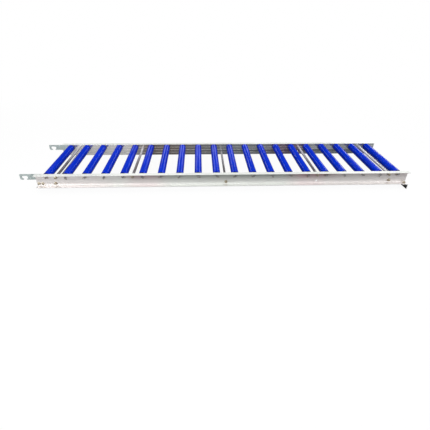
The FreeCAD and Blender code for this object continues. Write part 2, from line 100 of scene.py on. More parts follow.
# Split pins, in metres and degrees: their lean swings from axle to axle
PIN_OFFSET = 3.5 * MM
PIN_WIRE = 1.3 * MM
PIN_GAP = 0.1 * MM
PIN_BEND = 5 * MM
PIN_BEND_REACH = 1.4 * MM
PIN_EYE_DIAMETER = 8 * MM
PIN_EYE_DROP = 9.5 * MM
PIN_EYE_TURNS = range(30, 181, 15)
PIN_TAIL_LENGTH = 6 * MM
PIN_TAIL_SPLAY = 32
PIN_SWING = 75
PIN_TURN_FIRST = 270
PIN_TURN_STEP = 85.4

# Steps of the turned shapes and rounding of their edges
RING_STEPS = 48
WIRE_STEPS = 8
ROUNDING_PASSES = 2
CORNER_CUT = 0.25
SHARP_ANGLE = math.radians(32)
EDGE_ROUNDING = 0.2 * MM
ROUNDING_SEGMENTS = 2

# Rails: linear colours, shares, and ranges of places on the rail in metres
ALUMINIUM_GREENISH = (0.91, 0.92, 0.89, 1)
ALUMINIUM_ROSY = (0.93, 0.88, 0.87, 1)
ALUMINIUM_BRIGHT = (0.95, 0.95, 0.94, 1)
# Darker colours of the rail: painted shade under the top flange, and a dull film along the die lines and on
# the top
SHADE_AND_FILM_GREENISH = (0.42, 0.46, 0.42, 1)
SHADE_AND_FILM_ROSY = (0.47, 0.28, 0.31, 1)
RAIL_LINE_DENSITY = (1.4, 700.0, 900.0)
ROSY_PLACES = (-0.41, 0.50)
ROSY_REACH = (0.05, 0.15)
ROSY_ENDS_REACH = (0.50, 0.62)
ROSY_ENDS_SHARE = 0.7
ROSY_PATCH_SHARES = (0.75, 1.0)
# Painted shade under the top flange: none at this height above the foot, full at this depth below the top
UNDER_FLANGE_SHADE_LOW_HEIGHT = 22 * MM
UNDER_FLANGE_SHADE_TOP_DEPTH = 10 * MM
UNDER_FLANGE_SHADE_SHARE = 0.84
FILM_LINE_SHARE = 0.16
# The painted shade under the top flange along the rail: where it changes, and its share before and after
UNDER_FLANGE_SHADE_CHANGES = (
    ((-0.54, -0.46), 0.0, 1.0),
    ((0.20, 0.42), 1.0, 1.16),
    ((0.58, 0.68), 1.0, 0.35),
)
TOP_FACE_BLEND = (-1.2 * MM, -0.8 * MM)
TOP_HANDLED_REACH = (-0.85, -0.65)
TOP_UNHANDLED_SHARE = 0.2
TOP_FILM_SHARES = (0.14, 0.36)
TOP_ROUGHER = 0.24
SHELF_BLEND = (3.3 * MM, 3.6 * MM)
RAIL_LINE_ROUGHNESS = (0.27, 0.35)
RAIL_PATCH_ROUGHNESS = (0.0, 0.06)
RAIL_METAL = 0.42
RAIL_METAL_MIRRORING = 0.75
METAL_SPECULAR = 0.3

# Inner faces of the webs
INNER_DULL = (0.30, 0.33, 0.34, 1)
INNER_LIGHT = (0.78, 0.82, 0.84, 1)
INNER_BROWN = (0.46, 0.37, 0.31, 1)
# Painted light: the inner faces turn pale towards the left end
INNER_PAINTED_LIGHT = (0.92, 0.90, 0.87, 1)
INNER_PLUM = (0.34, 0.20, 0.31, 1)
INNER_BLEND = (0.1 * MM, 0.4 * MM)
INNER_STRIPE_DENSITY = (0.5, 0.0, 130.0)
INNER_BROWN_REACH = (-0.30, 0.05)
INNER_BROWN_SHARE = 0.8
INNER_PAINTED_LIGHT_REACH = (-0.56, -0.43)
INNER_PLUM_PLACE = 0.47
INNER_PLUM_REACH = (0.05, 0.16)
INNER_PLUM_SHARE = 0.7
INNER_ROUGHNESS_SHARE = 0.26

# Hook plates and end angle
ZINC_DARK = (0.36, 0.43, 0.42, 1)
ZINC_LIGHT = (0.56, 0.63, 0.62, 1)
ZINC_PALE = (0.78, 0.78, 0.78, 1)
ZINC_BRIGHT = (0.90, 0.90, 0.90, 1)
HOOK_CRYSTAL_SHARE = 0.6
HOOK_METAL = 0.5
HOOK_ROUGHNESS = (0.34, 0.52)
# Painted shade on the inner faces of the end angle
ANGLE_INNER_SHADE = (0.030, 0.031, 0.024, 1)
ANGLE_SHADE_BLEND = (0.1 * MM, 0.3 * MM)
ANGLE_WEAR_SHARE = 0.8
ANGLE_METAL = 0.2
ANGLE_ROUGHNESS = (0.38, 0.58)

# Roller tubes, end caps and bushes: the painted shade at the tube ends is measured from the end of the
# tube, in metres
ROLLER_BLUE = (0.000, 0.030, 0.590, 1)
ROLLER_DEEP = (0.000, 0.022, 0.490, 1)
ROLLER_SCUFFED = (0.025, 0.090, 0.680, 1)
ROLLER_END_SHADE = (0.003, 0.006, 0.110, 1)
ROLLER_END_SHADE_START = 2.4 * MM
ROLLER_END_SHADE_FULL = 1.4 * MM
ROLLER_RUB_SHARE = 0.05
ROLLER_SCRATCH_SHARE = 0.45
ROLLER_ROUGHNESS = (0.04, 0.08)
ROLLER_MARK_ROUGHNESS = 0.3
ROLLER_SPECULAR = 0.03
CAP_BLUE = (0.004, 0.020, 0.270, 1)
CAP_RUBBED = (0.020, 0.060, 0.400, 1)
CAP_PATCH_SHARE = 0.4
CAP_WEAR_SHARE = 0.6
CAP_ROUGHNESS = (0.36, 0.52)
NYLON_LIGHT = (0.62, 0.62, 0.60, 1)
NYLON_GREY = (0.44, 0.44, 0.43, 1)
NYLON_ROUGHNESS = (0.40, 0.56)

# Axles and ties: the painted shade of the ties fades across the section and is less at one end
STEEL_LIGHT = (0.58, 0.58, 0.60, 1)
STEEL_DARK = (0.34, 0.34, 0.37, 1)
TIE_LIGHT = (0.72, 0.70, 0.69, 1)
# The dark of the ties serves their clouded plating and their painted shade
TIE_DARK = (0.075, 0.058, 0.058, 1)
TIE_METAL = 0.45
TIE_PAINTED_SHADE = 0.9
TIE_SHADE_REACH = (-0.04, 0.17)
TIE_SHADE_LESS_REACH = (0.6, 0.85)
TIE_SHADE_LESS_SHARE = 0.35
STEEL_CLOUD_SHARES = (0.4, 1.0)
STEEL_ROUGHNESS = (0.22, 0.36)

# Passivated fasteners and pins
GOLD_ZINC = (0.60, 0.51, 0.40, 1)
GREEN_ZINC = (0.54, 0.51, 0.39, 1)
ROSE_ZINC = (0.56, 0.47, 0.43, 1)
BRONZE_DARK = (0.15, 0.11, 0.06, 1)
ROSE_SHARE = 0.6
FASTENER_WEAR_SHARE = 0.5
FASTENER_ROUGHNESS_SPAN = 0.16
PASSIVATE_SHIFT = (0.31, 0.17, 0.53)

# Floor and studio: the floor is white to the eye, and gives less of its white to mirroring metal, apart
# from painted light under the ends of the section
WHITE = (1, 1, 1, 1)
FLOOR_SIZE = 120.0
FLOOR_PALE = (0.15, 0.15, 0.15, 1)
FLOOR_WHITE_SEEN = 0.94
FLOOR_SHADOW_SHAPE = (0.5, 1, 1)
FLOOR_SHADOW_REACH = (0.8, 2.0)
FLOOR_WHITE_MIRRORED = 0.12
FLOOR_LIT_END = (-0.60, -0.45)
FLOOR_FAINT_END = (0.55, 0.70)
FLOOR_FAINT_SHARE = 0.35
FLOOR_LIT_ACROSS = (0.18, 0.20)
FLOOR_LIT_MIRRORED = 0.45
STUDIO_GREY = (0.94, 0.97, 1.0, 1)
STUDIO_STRENGTH = 0.14
STUDIO_WHITE_MIRRORED = 0.10

# Lamps: name, place, width and depth in metres, and the glow of the lamp's face
LAMP_AIM = Vector((0, 0, 0.06))
LAMPS = (
    ("top_softbox", (0.0, 0.1, 2.6), 4.4, 1.6, 1.7),
    ("front_softbox", (0.5, -1.7, 2.5), 4.4, 2.0, 2.0),
    ("rear_softbox", (0.2, 2.2, 2.4), 5.0, 1.4, 1.0),
    ("low_front_softbox", (-0.2, -3.4, 1.5), 7.0, 1.2, 0.9),
    ("left_end_softbox", (-1.45, -1.2, 0.25), 1.4, 0.4, 5.2),
    ("right_end_softbox", (2.0, -1.2, 0.3), 0.8, 0.5, 4.5),
    ("rear_left_strip", (-1.05, 3.2, 1.1), 0.8, 0.4, 5.5),
    ("rear_right_strip", (0.85, 3.2, 1.1), 0.8, 0.4, 5.5),
    ("rear_far_right_strip", (3.05, 3.3, 1.4), 1.2, 0.9, 8.0),
)


# Node helpers


def feed(tree, socket, value):
    """Link a socket to another node's output, or set it to a plain value."""
    if isinstance(value, bpy.types.NodeSocket):
        tree.links.new(value, socket)
    else:
        socket.default_value = value


def add(tree, kind, inputs=(), **settings):
    """A new shader node with its settings made and its inputs fed."""
    made = tree.nodes.new(f"ShaderNode{kind}")
    for name, setting in settings.items():
        setattr(made, name, setting)
    for name, value in dict(inputs).items():
        feed(tree, made.inputs[name], value)
    return made


def calc(tree, operation, first, second=0.0):
    """The result of one sum on two values."""
    return add(tree, "Math", {0: first, 1: second}, operation=operation).outputs[0]


def times(tree, first, second):
    """The product of two values."""
    return calc(tree, "MULTIPLY", first, second)


def larger(tree, first, second):
    """The larger of two values."""
    return calc(tree, "MAXIMUM", first, second)


def how_far(tree, value, place=0.0):
    """Distance of a value from a place, on either side."""
    return calc(tree, "ABSOLUTE", calc(tree, "SUBTRACT", value, place))


def mix(tree, share, first, second):
    """First colour at share 0, second colour at share 1."""
    return add(tree, "Mix", {0: share, 6: first, 7: second}, data_type="RGBA").outputs[2]


def spread(tree, value, low, high, start=0.0, end=1.0):
    """Value rescaled from low..high to start..end and held within them."""
    inputs = {"Value": value, "From Min": low, "From Max": high, "To Min": start, "To Max": end}
    return add(tree, "MapRange", inputs).outputs[0]


def between(tree, mask, start, end):
    """Start where the mask is 0, end where it is 1."""
    return spread(tree, mask, 0, 1, start, end)


def until(tree, value, edge, blend):
    """Mask that is 1 before an edge and falls to 0 over the blend, which is measured from the edge."""
    blend_start, blend_end = blend
    return spread(tree, value, edge + blend_start, edge + blend_end, 1.0, 0.0)


def stretch(tree, position, scale):
    """Position with each of its axes scaled."""
    return add(tree, "VectorMath", {0: position, 1: scale}, operation="MULTIPLY").outputs[0]


def axes(tree, position):
    """The X, Y and Z of a position, by those names."""
    return add(tree, "SeparateXYZ", {"Vector": position}).outputs


def noise(tree, position, scale, detail=3.0, roughness=0.5):
    """Cloudy values about 0.5."""
    inputs = {"Vector": position, "Scale": scale, "Detail": detail, "Roughness": roughness}
    return add(tree, "TexNoise", inputs).outputs["Fac"]


def new_group(name, inputs, outputs):
    """An empty shader node group with its named sockets, and its input and output nodes."""
    group = bpy.data.node_groups.new(name, "ShaderNodeTree")
    for label, (kind, value) in inputs.items():
        socket = group.interface.new_socket(label, in_out="INPUT", socket_type=f"NodeSocket{kind}")
        socket.default_value = value
    for label in outputs:
        group.interface.new_socket(label, in_out="OUTPUT", socket_type="NodeSocketFloat")
    return group, group.nodes.new("NodeGroupInput").outputs, group.nodes.new("NodeGroupOutput").inputs


def use(tree, group, **inputs):
    """The outputs of a group placed in a material with its own values."""
    made = tree.nodes.new("ShaderNodeGroup")
    made.node_tree = group
    for name, value in inputs.items():
        feed(tree, made.inputs[name], value)
    return made.outputs


# Effects that several finishes share


def drawn_lines_group():
    """Long fine lines left by a die: Lines is their shade, Height their relief."""
    inputs = {"Position": ("Vector", (0, 0, 0)), "Density": ("Vector", (1, 1, 1))}
    group, given, out = new_group("drawn_lines", inputs, ("Lines", "Height"))
    place = stretch(group, given["Position"], given["Density"])
    broad = noise(group, place, scale=0.25, detail=2.0)
    fine = noise(group, place, scale=1.0, detail=4.0, roughness=0.6)
    both = calc(group, "ADD", times(group, broad, 0.5), times(group, fine, 0.5))
    feed(group, out["Lines"], spread(group, both, low=0.36, high=0.64))
    feed(group, out["Height"], fine)
    return group


def soft_patches_group():
    """Handling marks: Broad cloudy patches and Fine mottling."""
    inputs = {"Position": ("Vector", (0, 0, 0)), "Scale": ("Float", 4.0)}
    group, given, out = new_group("soft_patches", inputs, ("Broad", "Fine"))
    fine_scale = times(group, given["Scale"], 12.0)
    broad = noise(group, given["Position"], given["Scale"], detail=2.0)
    fine = noise(group, given["Position"], fine_scale, detail=5.0, roughness=0.6)
    feed(group, out["Broad"], spread(group, broad, low=0.35, high=0.65))
    feed(group, out["Fine"], spread(group, fine, low=0.3, high=0.7))
    return group


def edge_wear_group():
    """Edges rubbed bright, broken up along their length."""
    inputs = {"Position": ("Vector", (0, 0, 0)), "Width": ("Float", 0.001)}
    group, given, out = new_group("edge_wear", inputs, ("Wear",))
    rounded_normal = add(group, "Bevel", {"Radius": given["Width"]}, samples=6).outputs["Normal"]
    true_normal = add(group, "NewGeometry").outputs["Normal"]
    normals = {0: rounded_normal, 1: true_normal}
    along = add(group, "VectorMath", normals, operation="DOT_PRODUCT").outputs["Value"]
    edge = spread(group, calc(group, "SUBTRACT", 1.0, along), low=0.02, high=0.22)
    broken = noise(group, given["Position"], scale=140.0, detail=3.0)
    broken = spread(group, broken, low=0.38, high=0.62, start=0.25, end=1.0)
    feed(group, out["Wear"], times(group, edge, broken))
    return group


def scuffs_group():
    """Sparse hair scratches: lines of a stretched noise where it crosses its middle."""
    inputs = {
        "Position": ("Vector", (0, 0, 0)),
        "Density": ("Vector", (1, 1, 1)),
        "Width": ("Float", 0.02),
    }
    group, given, out = new_group("scuffs", inputs, ("Scratch",))
    place = stretch(group, given["Position"], given["Density"])
    away = how_far(group, noise(group, place, scale=1.0, detail=1.0), 0.5)
    line = spread(group, away, 0.0, given["Width"], start=1.0, end=0.0)
    gate = spread(group, noise(group, given["Position"], scale=9.0, detail=2.0), low=0.50, high=0.62)
    feed(group, out["Scratch"], times(group, line, gate))
    return group


def zinc_crystals_group():
    """Spangle of hot-dip zinc: a shade for each crystal and a fine line at their borders."""
    inputs = {"Position": ("Vector", (0, 0, 0)), "Scale": ("Float", 150.0)}
    group, given, out = new_group("zinc_crystals", inputs, ("Shade", "Border"))
    cells = {"Vector": given["Position"], "Scale": given["Scale"]}
    colour = add(group, "TexVoronoi", cells).outputs["Color"]
    shade = add(group, "SeparateColor", {"Color": colour}).outputs[0]
    border = add(group, "TexVoronoi", cells, feature="DISTANCE_TO_EDGE").outputs["Distance"]
    feed(group, out["Shade"], shade)
    feed(group, out["Border"], spread(group, border, low=0.0, high=0.08, start=1.0, end=0.0))
    return group


def passivate_group():
    """Uneven film of yellow passivation: how green, how rosy and how dull it is at each place."""
    inputs = {"Position": ("Vector", (0, 0, 0)), "Scale": ("Float", 160.0)}
    group, given, out = new_group("passivate", inputs, ("Green", "Rose", "Dull"))
    shift = {0: given["Position"], 1: PASSIVATE_SHIFT}
    moved = add(group, "VectorMath", shift, operation="ADD").outputs[0]
    green = noise(group, given["Position"], given["Scale"])
    rose = noise(group, moved, given["Scale"])
    fine_scale = times(group, given["Scale"], 5.0)
    dull = noise(group, moved, fine_scale, detail=4.0)
    feed(group, out["Green"], spread(group, green, low=0.40, high=0.62))
    feed(group, out["Rose"], spread(group, rose, low=0.50, high=0.70))
    feed(group, out["Dull"], spread(group, dull, low=0.35, high=0.65))
    return group


drawn_lines = drawn_lines_group()
soft_patches = soft_patches_group()
edge_wear = edge_wear_group()
scuffs = scuffs_group()
zinc_crystals = zinc_crystals_group()
passivate = passivate_group()


# Finishes


def new_finish(name):
    """A material with an empty tree, the tree, and the place on the part in metres."""
    material = bpy.data.materials.new(name)
    material.use_nodes = True
    tree = material.node_tree
    tree.nodes.clear()
    return material, tree, add(tree, "TexCoord").outputs["Object"]


def bump(tree, height, strength, distance):
    """Normal of a surface with a fine relief."""
    inputs = {"Height": height, "Strength": strength, "Distance": distance}
    return add(tree, "Bump", inputs).outputs["Normal"]


def close(tree, **inputs):
    """The surface shader of a finish, with its inputs fed by their names."""
    named = {name.replace("_", " "): value for name, value in inputs.items()}
    shader = add(tree, "BsdfPrincipled", named)
    add(tree, "OutputMaterial", {"Surface": shader.outputs[0]})


def rosy_share(tree, x, patches):
    """How rosy the oxide is along a rail: at two places and, more weakly, towards both ends."""
    share = spread(tree, how_far(tree, x), *ROSY_ENDS_REACH, 0.0, ROSY_ENDS_SHARE)
    for place in ROSY_PLACES:
        share = larger(tree, share, spread(tree, how_far(tree, x, place), *ROSY_REACH, 1.0, 0.0))
    return times(tree, share, between(tree, patches["Broad"], *ROSY_PATCH_SHARES))


def rail_shade_and_film(tree, axis, below_top, lines, patches):
    """Painted shade on a rail, deep below the top flange, with a dull film, faint along the die lines and
    on the handled top.
    """
    low, high = rail_low.z + UNDER_FLANGE_SHADE_LOW_HEIGHT, rail_high.z - UNDER_FLANGE_SHADE_TOP_DEPTH
    # Painted shade: darker under the top flange, changed along the rail
    film = times(tree, spread(tree, axis["Z"], low, high, 0.0, UNDER_FLANGE_SHADE_SHARE), below_top)
    for reach, before, after in UNDER_FLANGE_SHADE_CHANGES:
        film = times(tree, film, spread(tree, axis["X"], *reach, before, after))
    film = larger(tree, film, between(tree, lines["Lines"], FILM_LINE_SHARE, 0.0))
    handled = spread(tree, axis["X"], *TOP_HANDLED_REACH, TOP_UNHANDLED_SHARE, 1.0)
    handled = times(tree, calc(tree, "SUBTRACT", 1.0, below_top), handled)
    return larger(tree, film, times(tree, handled, between(tree, patches["Broad"], *TOP_FILM_SHARES)))


def web_inside(tree, place, x):
    """Colour of a web's inner face: soft stripes that turn brown and plum along the rail, and painted light
    that turns it pale towards the left end.
    """
    stripes = noise(tree, stretch(tree, place, INNER_STRIPE_DENSITY), scale=1.0, detail=2.0)
    colour = mix(tree, spread(tree, stripes, low=0.38, high=0.62), INNER_DULL, INNER_LIGHT)
    brown = spread(tree, x, *INNER_BROWN_REACH, INNER_BROWN_SHARE, 0.0)
    colour = mix(tree, brown, colour, INNER_BROWN)
    # Painted light: paler towards the left end
    painted_light = spread(tree, x, *INNER_PAINTED_LIGHT_REACH, 1.0, 0.0)
    colour = mix(tree, painted_light, colour, INNER_PAINTED_LIGHT)
    plum = spread(tree, how_far(tree, x, INNER_PLUM_PLACE), *INNER_PLUM_REACH, INNER_PLUM_SHARE, 0.0)
    return mix(tree, plum, colour, INNER_PLUM)


def rail_aluminium():
    """Mill-finish extrusion: long die lines, cloudy oxide, painted shade below the top flange, a dull film
    and bright edges.
    """
    material, tree, place = new_finish("rail_aluminium")
    lines = use(tree, drawn_lines, Position=place, Density=RAIL_LINE_DENSITY)
    patches = use(tree, soft_patches, Position=place, Scale=2.6)
    worn = use(tree, edge_wear, Position=place, Width=1.2 * MM)["Wear"]
    axis = axes(tree, place)
    below_top = until(tree, axis["Z"], rail_high.z, TOP_FACE_BLEND)
    inner = until(tree, how_far(tree, axis["Y"]), rail_low.y, INNER_BLEND)
    shelf = until(tree, axis["Z"], rail_low.z, SHELF_BLEND)

    rosy = times(tree, rosy_share(tree, axis["X"], patches), below_top)
    clean_colour = mix(tree, rosy, ALUMINIUM_GREENISH, ALUMINIUM_ROSY)
    # Painted shade under the top flange and the dull film take these colours
    shade_and_film_colour = mix(tree, rosy, SHADE_AND_FILM_GREENISH, SHADE_AND_FILM_ROSY)
    film = rail_shade_and_film(tree, axis, below_top, lines, patches)
    colour = mix(tree, film, clean_colour, shade_and_film_colour)
    colour = mix(tree, inner, colour, web_inside(tree, place, axis["X"]))
    colour = mix(tree, worn, colour, ALUMINIUM_BRIGHT)

    line_rough = between(tree, lines["Lines"], *RAIL_LINE_ROUGHNESS)
    rough = calc(tree, "ADD", line_rough, between(tree, patches["Fine"], *RAIL_PATCH_ROUGHNESS))
    rough = calc(tree, "ADD", rough, between(tree, below_top, TOP_ROUGHER, 0.0))
    rough = times(tree, rough, between(tree, inner, 1.0, INNER_ROUGHNESS_SHARE))
    metal = between(tree, larger(tree, inner, shelf), RAIL_METAL, RAIL_METAL_MIRRORING)
    relief = bump(tree, lines["Height"], strength=0.06, distance=0.15 * MM)
    close(tree, Base_Color=colour, Metallic=metal, Roughness=rough, Specular_IOR_Level=METAL_SPECULAR,
          Normal=relief)
    return material


def hook_galvanised():
    """Hot-dip galvanised plate with a fine spangle and rubbed edges."""
    material, tree, place = new_finish("hook_galvanised")
    crystals = use(tree, zinc_crystals, Position=place, Scale=210.0)
    patches = use(tree, soft_patches, Position=place, Scale=14.0)
    worn = use(tree, edge_wear, Position=place, Width=0.8 * MM)["Wear"]
    clouds = times(tree, patches["Broad"], 1.0 - HOOK_CRYSTAL_SHARE)
    shade = calc(tree, "ADD", times(tree, crystals["Shade"], HOOK_CRYSTAL_SHARE), clouds)
    colour = mix(tree, shade, ZINC_DARK, ZINC_LIGHT)
    colour = mix(tree, worn, colour, ZINC_BRIGHT)
    rough = between(tree, crystals["Shade"], *HOOK_ROUGHNESS)
    relief = bump(tree, crystals["Border"], strength=0.15, distance=0.05 * MM)
    close(tree, Base_Color=colour, Metallic=HOOK_METAL, Roughness=rough, Specular_IOR_Level=METAL_SPECULAR,
          Normal=relief)
    return material


def angle_steel():
    """Zinc-coated angle whose inner faces carry a painted shade, near black."""
    material, tree, place = new_finish("angle_steel")
    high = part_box("end_angle")[1]
    crystals = use(tree, zinc_crystals, Position=place, Scale=160.0)
    patches = use(tree, soft_patches, Position=place, Scale=20.0)
    worn = use(tree, edge_wear, Position=place, Width=0.8 * MM)["Wear"]
    axis = axes(tree, place)
    beside = until(tree, axis["X"], high.x - ANGLE_WALL, ANGLE_SHADE_BLEND)
    below = until(tree, axis["Z"], high.z - ANGLE_WALL, ANGLE_SHADE_BLEND)
    # Painted shade: the inner faces are near black and not metallic
    shaded_inside = times(tree, beside, below)
    zinc = mix(tree, times(tree, crystals["Shade"], patches["Broad"]), ZINC_PALE, ZINC_BRIGHT)
    colour = mix(tree, shaded_inside, zinc, ANGLE_INNER_SHADE)
    colour = mix(tree, times(tree, worn, ANGLE_WEAR_SHARE), colour, ZINC_BRIGHT)
    rough = between(tree, patches["Fine"], *ANGLE_ROUGHNESS)
    metal = between(tree, shaded_inside, ANGLE_METAL, 0.0)
    relief = bump(tree, patches["Fine"], strength=0.2, distance=0.1 * MM)
    close(tree, Base_Color=colour, Metallic=metal, Roughness=rough, Normal=relief)
    return material


def roller_blue():
    """Glossy blue roller tube: slight drift of its blue, rub marks, hair scratches and painted shade at its
    ends.
    """
    material, tree, place = new_finish("roller_blue")
    patches = use(tree, soft_patches, Position=place, Scale=9.0)
    rings = use(tree, drawn_lines, Position=place, Density=(14.0, 900.0, 14.0))
    scratch = use(tree, scuffs, Position=place, Density=(500.0, 9.0, 500.0), Width=0.02)["Scratch"]
    rubbed = times(tree, times(tree, rings["Lines"], patches["Fine"]), ROLLER_RUB_SHARE)
    marked = larger(tree, rubbed, times(tree, scratch, ROLLER_SCRATCH_SHARE))
    tube_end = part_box("roller_tube_01")[1].y
    across = how_far(tree, axes(tree, place)["Y"])
    # Painted shade: darker within a few millimetres of each end of the tube
    end_shade = spread(tree, across, tube_end - ROLLER_END_SHADE_START, tube_end - ROLLER_END_SHADE_FULL)
    colour = mix(tree, patches["Broad"], ROLLER_BLUE, ROLLER_DEEP)
    colour = mix(tree, marked, colour, ROLLER_SCUFFED)
    colour = mix(tree, end_shade, colour, ROLLER_END_SHADE)
    rough = between(tree, patches["Fine"], *ROLLER_ROUGHNESS)
    rough = calc(tree, "ADD", rough, times(tree, marked, ROLLER_MARK_ROUGHNESS))
    relief = bump(tree, patches["Fine"], strength=0.03, distance=0.1 * MM)
    close(tree, Base_Color=colour, Roughness=rough, Specular_IOR_Level=ROLLER_SPECULAR, Normal=relief)
    return material


def cap_blue():
    """Moulded end cap: darker, satin, lighter where it rubs."""
    material, tree, place = new_finish("cap_blue")
    patches = use(tree, soft_patches, Position=place, Scale=40.0)
    worn = use(tree, edge_wear, Position=place, Width=0.6 * MM)["Wear"]
    colour = mix(tree, times(tree, patches["Broad"], CAP_PATCH_SHARE), CAP_BLUE, CAP_RUBBED)
    colour = mix(tree, times(tree, worn, CAP_WEAR_SHARE), colour, CAP_RUBBED)
    rough = between(tree, patches["Fine"], *CAP_ROUGHNESS)
    relief = bump(tree, patches["Fine"], strength=0.15, distance=0.08 * MM)
    close(tree, Base_Color=colour, Roughness=rough, Normal=relief)
    return material


def bush_plastic():
    """Natural grey nylon with fine turning rings."""
    material, tree, place = new_finish("bush_plastic")
    rings = use(tree, drawn_lines, Position=place, Density=(20.0, 1800.0, 20.0))
    patches = use(tree, soft_patches, Position=place, Scale=50.0)
    colour = mix(tree, patches["Broad"], NYLON_LIGHT, NYLON_GREY)
    rough = between(tree, rings["Lines"], *NYLON_ROUGHNESS)
    relief = bump(tree, rings["Height"], strength=0.15, distance=0.05 * MM)
    close(tree, Base_Color=colour, Roughness=rough, Normal=relief)
    return material


def drawn_steel(name, light, dark, metal, painted_shade=0.0):
    """Drawn bar: lines along it, clouded plating, bright edges, and painted shade towards the near rail."""
    material, tree, place = new_finish(name)
    lines = use(tree, drawn_lines, Position=place, Density=(900.0, 5.0, 900.0))
    patches = use(tree, soft_patches, Position=place, Scale=18.0)
    worn = use(tree, edge_wear, Position=place, Width=0.6 * MM)["Wear"]
    axis = axes(tree, place)
    # Painted shade: darker towards the near rail, less so at the right end
    shaded_near = spread(tree, axis["Y"], *TIE_SHADE_REACH, painted_shade, 0.0)
    lesser = spread(tree, axis["X"], *TIE_SHADE_LESS_REACH, 1.0, TIE_SHADE_LESS_SHARE)
    clouded = times(tree, lines["Lines"], between(tree, patches["Broad"], *STEEL_CLOUD_SHARES))
    clouded = times(tree, clouded, 1.0 - painted_shade / 2)
    share = larger(tree, clouded, times(tree, shaded_near, lesser))
    colour = mix(tree, worn, mix(tree, share, light, dark), ZINC_BRIGHT)
    rough = between(tree, patches["Fine"], *STEEL_ROUGHNESS)
    relief = bump(tree, lines["Height"], strength=0.2, distance=0.08 * MM)
    close(tree, Base_Color=colour, Metallic=metal, Roughness=rough, Normal=relief)
    return material


def passivated_zinc(name, dull_share, roughness):
    """Yellow-passivated zinc: gold that drifts to green and rose, duller in patches."""
    material, tree, place = new_finish(name)
    film = use(tree, passivate, Position=place, Scale=170.0)
    worn = use(tree, edge_wear, Position=place, Width=0.5 * MM)["Wear"]
    colour = mix(tree, film["Green"], GOLD_ZINC, GREEN_ZINC)
    colour = mix(tree, times(tree, film["Rose"], ROSE_SHARE), colour, ROSE_ZINC)
    colour = mix(tree, times(tree, film["Dull"], dull_share), colour, BRONZE_DARK)
    colour = mix(tree, times(tree, worn, FASTENER_WEAR_SHARE), colour, ZINC_BRIGHT)
    rough = between(tree, film["Dull"], roughness, roughness + FASTENER_ROUGHNESS_SPAN)
    relief = bump(tree, film["Dull"], strength=0.1, distance=0.04 * MM)
    close(tree, Base_Color=colour, Metallic=1.0, Roughness=rough, Normal=relief)
    return material


FINISHES = {
    "rail_aluminium": rail_aluminium(),
    "hook_galvanised": hook_galvanised(),
    "angle_steel": angle_steel(),
    "roller_blue": roller_blue(),
    "cap_blue": cap_blue(),
    "bush_plastic": bush_plastic(),
    "axle_steel": drawn_steel("axle_steel", STEEL_LIGHT, STEEL_DARK, metal=1.0),
    "tie_steel": drawn_steel("tie_steel", TIE_LIGHT, TIE_DARK, TIE_METAL, TIE_PAINTED_SHADE),
    "pin_steel": passivated_zinc("pin_steel", dull_share=0.9, roughness=0.26),
    "yellow_zinc": passivated_zinc("yellow_zinc", dull_share=0.35, roughness=0.38),
}


def finish_frame():
    """Give every CAD node the finish of its own material slot."""
    for node in nodes.values():
        for index, material in enumerate(node.data.materials):
            node.data.materials[index] = FINISHES[material.name.split(".")[0]]


# Small hardware, each shape in metres with its own axis along Z


def ring(radius, height):
    """Round ring of points at a height."""
    turns = [math.tau * step / RING_STEPS for step in range(RING_STEPS)]
    return [Vector((radius * math.cos(turn), radius * math.sin(turn), height)) for turn in turns]


def hex_ring(height, slope):
    """Hexagonal ring whose corners fall away from the turned face at the given slope."""
    points = []
    flat = HEX_ACROSS_FLATS / 2
    for step in range(RING_STEPS):
        turn = math.tau * step / RING_STEPS
        off_flat = (turn + math.pi / 6) % (math.pi / 3) - math.pi / 6
        radius = flat / math.cos(off_flat)
        drop = slope * (radius - flat * HEX_FACE_SHARE)
        points.append(Vector((radius * math.cos(turn), radius * math.sin(turn), height - drop)))
    return points


def loft(rings, joined=False):
    """Skin over rings of points, closed by flat ends, or by joining the last ring to the first."""
    count = len(rings[0])
    points = [point for row in rings for point in row]
    faces = []
    for row in range(len(rings) if joined else len(rings) - 1):
        here, there = row * count, (row + 1) % len(rings) * count
        for step in range(count):
            after = (step + 1) % count
            faces.append((here + step, here + after, there + after, there + step))
    if not joined:
        faces.append(tuple(range(count)))
        faces.append(tuple(range(len(points) - count, len(points))))
    return points, faces


def hex_bolt(length):
    """Bolt with its head above Z 0: threaded shank with a pointed end, and a head chamfered on top."""
    shank = BOLT_DIAMETER / 2
    root = shank - THREAD_DEPTH
    face = HEX_ACROSS_FLATS / 2 * HEX_FACE_SHARE
    rings = [ring(root - THREAD_DEPTH / 2, -length), ring(root, -length + THREAD_DEPTH / 2)]
    turns = int(length / THREAD_PITCH) - 1
    for turn in range(turns):
        height = -length + (turn + FIRST_CREST_PITCHES) * THREAD_PITCH
        rings += [ring(shank, height), ring(root, height + THREAD_PITCH / 2)]
    rings += [ring(shank, rings[-1][0].z + THREAD_PITCH / 2), ring(shank, 0), ring(face, 0)]
    rings += [hex_ring(0, -HEX_CHAMFER_SLOPE / 2), hex_ring(BOLT_HEAD_HEIGHT, HEX_CHAMFER_SLOPE)]
    return loft(rings + [ring(face, BOLT_HEAD_HEIGHT)])


def hex_nut():
    """Nut standing on Z 0, chamfered on both faces and at the mouths of its bore."""
    bore = BOLT_DIAMETER / 2 + NUT_CLEARANCE
    mouth = bore + THREAD_DEPTH
    face = HEX_ACROSS_FLATS / 2 * HEX_FACE_SHARE
    rings = [ring(mouth, 0), ring(bore, THREAD_DEPTH)]
    rings += [ring(bore, NUT_HEIGHT - THREAD_DEPTH), ring(mouth, NUT_HEIGHT), ring(face, NUT_HEIGHT)]
    rings += [hex_ring(NUT_HEIGHT, HEX_CHAMFER_SLOPE), hex_ring(0, -HEX_CHAMFER_SLOPE), ring(face, 0)]
    return loft(rings, joined=True)


